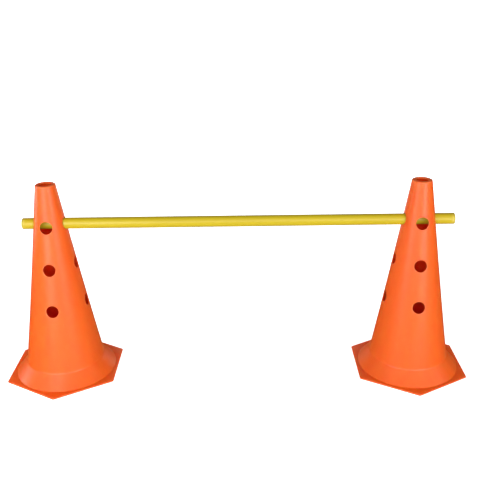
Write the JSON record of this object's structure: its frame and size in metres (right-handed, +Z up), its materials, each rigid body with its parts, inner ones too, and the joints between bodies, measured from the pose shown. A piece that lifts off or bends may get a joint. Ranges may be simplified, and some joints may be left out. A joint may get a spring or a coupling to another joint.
{
  "type": "agility hurdle",
  "caption": "Training hurdle for dogs: hollow tapered cones on hexagonal feet, with rows of round side holes that hold a straight round pole at a chosen height.",
  "frame": {"origin": "on the floor, midway between the axes of the cones, at the middle of the whole object's footprint", "axes": "+X along the pole, +Y across it (the way a dog jumps), +Z up along the cones' axes"},
  "size_m": [1.1134, 0.296, 0.48],
  "materials": {
    "cone_plastic": "semi-gloss moulded plastic",
    "pole_plastic": "glossy extruded plastic"
  },
  "bodies": {
    "left_cone": {"cone_left": "cone_plastic"},
    "pole": {"pole_tube": "pole_plastic", "pole_cap_left": "pole_plastic", "pole_cap_right": "pole_plastic"},
    "right_cone": {"cone_right": "cone_plastic"}
  },
  "joints": [
    {"name": "pole_slide", "type": "slide", "parent": "left_cone", "child": "pole", "axis": [1, 0, 0], "range_m": [-0.98, 0.96]},
    {"name": "width_slide", "type": "slide", "parent": "left_cone", "child": "right_cone", "axis": [1, 0, 0], "range_m": [-0.598, 0.11]}
  ]
}
